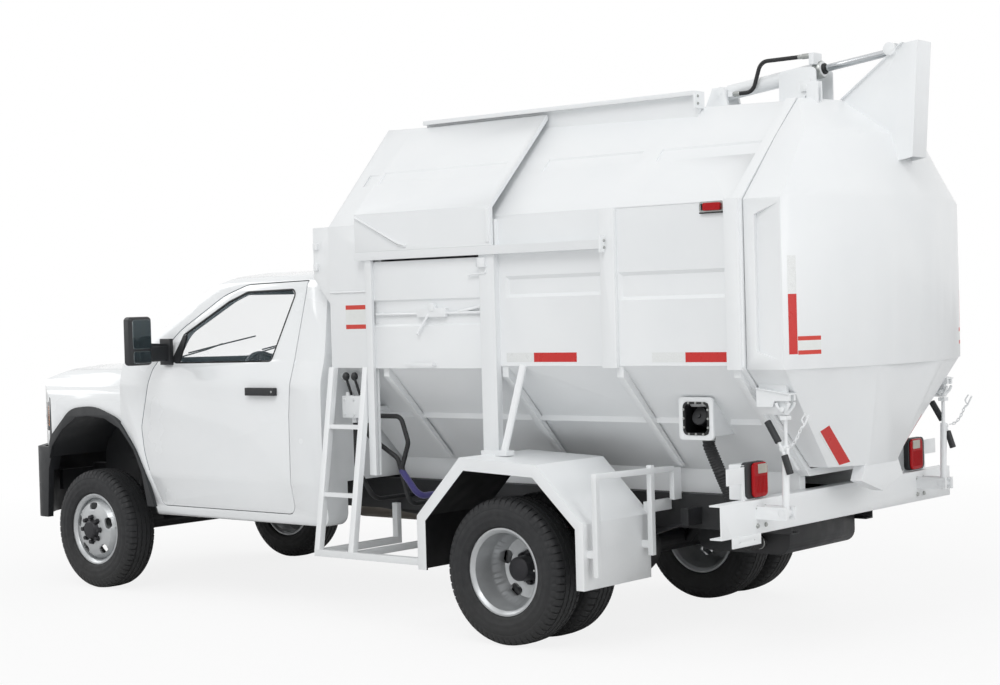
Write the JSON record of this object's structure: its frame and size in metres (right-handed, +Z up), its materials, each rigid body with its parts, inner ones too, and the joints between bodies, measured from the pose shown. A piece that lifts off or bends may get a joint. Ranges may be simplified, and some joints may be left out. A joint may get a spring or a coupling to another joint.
{
  "type": "garbage truck",
  "caption": "White side-loading refuse body on a dual-rear-wheel regular-cab pickup chassis, domed tailgate lifted by a roof cylinder",
  "frame": {"origin": "on the ground at the middle of the whole truck's box, length, width and ground level", "axes": "+X forward, +Y to the driver's (left) side, +Z up"},
  "size_m": [6.735, 2.58, 3.162],
  "materials": {
    "white_paint": "gloss",
    "frame_black": "satin",
    "tyre_rubber": "matte",
    "wheel_steel": "satin",
    "black_plastic": "matte",
    "cab_glass": "clear",
    "seat_cloth": "matte",
    "dash_plastic": "matte",
    "lamp_lens": "clear",
    "cast_iron": "matte",
    "chrome_rod": "polished",
    "hose_rubber": "matte",
    "exhaust_steel": "dull"
  },
  "bodies": {
    "chassis": {"frame": "frame_black", "engine": "cast_iron", "axles": "frame_black", "suspension": "frame_black", "exhaust": "exhaust_steel", "cab": "white_paint", "front_wings": "white_paint", "cab_glass": "cab_glass", "lamps": "lamp_lens", "front_trim": "black_plastic", "seat": "seat_cloth", "dashboard": "dash_plastic", "tank_body": "white_paint", "rear_bumper": "white_paint", "fuel_system": "frame_black", "rear_fenders": "white_paint", "side_ladders": "white_paint", "valve": "white_paint", "hoses": "hose_rubber"},
    "knuckle_left": {"knuckle_left": "cast_iron"},
    "front_wheel_left": {"front_rim_left": "wheel_steel", "front_tyre_left": "tyre_rubber"},
    "rear_wheels_left": {"rear_rims_left": "wheel_steel", "rear_tyres_left": "tyre_rubber"},
    "door_left": {"door_left": "white_paint", "door_glass_left": "cab_glass", "mirror_left": "black_plastic"},
    "cover_left": {"cover_left": "white_paint"},
    "drop_door_left": {"drop_door_left": "white_paint"},
    "latch_left": {"latch_left": "white_paint"},
    "knuckle_right": {"knuckle_right": "cast_iron"},
    "front_wheel_right": {"front_rim_right": "wheel_steel", "front_tyre_right": "tyre_rubber"},
    "rear_wheels_right": {"rear_rims_right": "wheel_steel", "rear_tyres_right": "tyre_rubber"},
    "door_right": {"door_right": "white_paint", "door_glass_right": "cab_glass", "mirror_right": "black_plastic"},
    "cover_right": {"cover_right": "white_paint"},
    "drop_door_right": {"drop_door_right": "white_paint"},
    "latch_right": {"latch_right": "white_paint"},
    "hood": {"hood": "white_paint"},
    "tailgate": {"tailgate": "white_paint"},
    "barrel": {"cylinder_barrel": "white_paint"},
    "rod": {"cylinder_rod": "chrome_rod"}
  },
  "joints": [
    {"name": "steer_left", "type": "hinge", "parent": "chassis", "child": "knuckle_left", "pos_m": [2.3875, 0.765, 0.404], "axis": [0, 0, 1], "range_deg": [-34, 34]},
    {"name": "steer_right", "type": "hinge", "parent": "chassis", "child": "knuckle_right", "pos_m": [2.3875, -0.765, 0.404], "axis": [0, 0, 1], "range_deg": [-34, 34]},
    {"name": "front_spin_left", "type": "hinge", "parent": "knuckle_left", "child": "front_wheel_left", "pos_m": [2.3875, 0.8875, 0.404], "axis": [0, 1, 0], "continuous": true},
    {"name": "rear_spin_left", "type": "hinge", "parent": "chassis", "child": "rear_wheels_left", "pos_m": [-1.4125, 0.9425, 0.404], "axis": [0, 1, 0], "continuous": true},
    {"name": "door_swing_left", "type": "hinge", "parent": "chassis", "child": "door_left", "pos_m": [1.8435, 0.99, 1], "axis": [0, 0, 1], "range_deg": [-68, 0]},
    {"name": "cover_slide_left", "type": "slide", "parent": "chassis", "child": "cover_left", "axis": [-1, 0, 0], "range_m": [0, 0.74]},
    {"name": "drop_slide_left", "type": "slide", "parent": "chassis", "child": "drop_door_left", "axis": [0, 0, -1], "range_m": [0, 0.44]},
    {"name": "latch_swing_left", "type": "hinge", "parent": "chassis", "child": "latch_left", "pos_m": [-2.9875, 0.85, 0.768], "axis": [0, 1, 0], "range_deg": [-25, 0]},
    {"name": "front_spin_right", "type": "hinge", "parent": "knuckle_right", "child": "front_wheel_right", "pos_m": [2.3875, -0.8875, 0.404], "axis": [0, 1, 0], "continuous": true},
    {"name": "rear_spin_right", "type": "hinge", "parent": "chassis", "child": "rear_wheels_right", "pos_m": [-1.4125, -0.9425, 0.404], "axis": [0, 1, 0], "continuous": true},
    {"name": "door_swing_right", "type": "hinge", "parent": "chassis", "child": "door_right", "pos_m": [1.8435, -0.99, 1], "axis": [0, 0, 1], "range_deg": [0, 68]},
    {"name": "cover_slide_right", "type": "slide", "parent": "chassis", "child": "cover_right", "axis": [-1, 0, 0], "range_m": [0, 0.74]},
    {"name": "drop_slide_right", "type": "slide", "parent": "chassis", "child": "drop_door_right", "axis": [0, 0, -1], "range_m": [0, 0.44]},
    {"name": "latch_swing_right", "type": "hinge", "parent": "chassis", "child": "latch_right", "pos_m": [-2.9875, -0.85, 0.768], "axis": [0, 1, 0], "range_deg": [-25, 0]},
    {"name": "hood_lift", "type": "hinge", "parent": "chassis", "child": "hood", "pos_m": [2.1115, 0, 1.49], "axis": [0, 1, 0], "range_deg": [-45, 0]},
    {"name": "gate_lift", "type": "hinge", "parent": "chassis", "child": "tailgate", "pos_m": [-2.8375, 0, 2.95], "axis": [0, 1, 0], "range_deg": [0, 70]},
    {"name": "barrel_tilt", "type": "hinge", "parent": "chassis", "child": "barrel", "pos_m": [-2.1345, 0, 3], "axis": [0, 1, 0], "range_deg": [0, 23.09]},
    {"name": "rod_slide", "type": "slide", "parent": "barrel", "child": "rod", "axis": [-0.993, 0, 0.1179], "range_m": [-0.295, 0]}
  ],
  "couplings": [
    {"joint": "steer_right", "follows": "steer_left", "ratio": 1},
    {"joint": "barrel_tilt", "follows": "gate_lift", "ratio": 0.32983},
    {"joint": "rod_slide", "follows": "gate_lift", "m_per_rad": -0.2404}
  ]
}
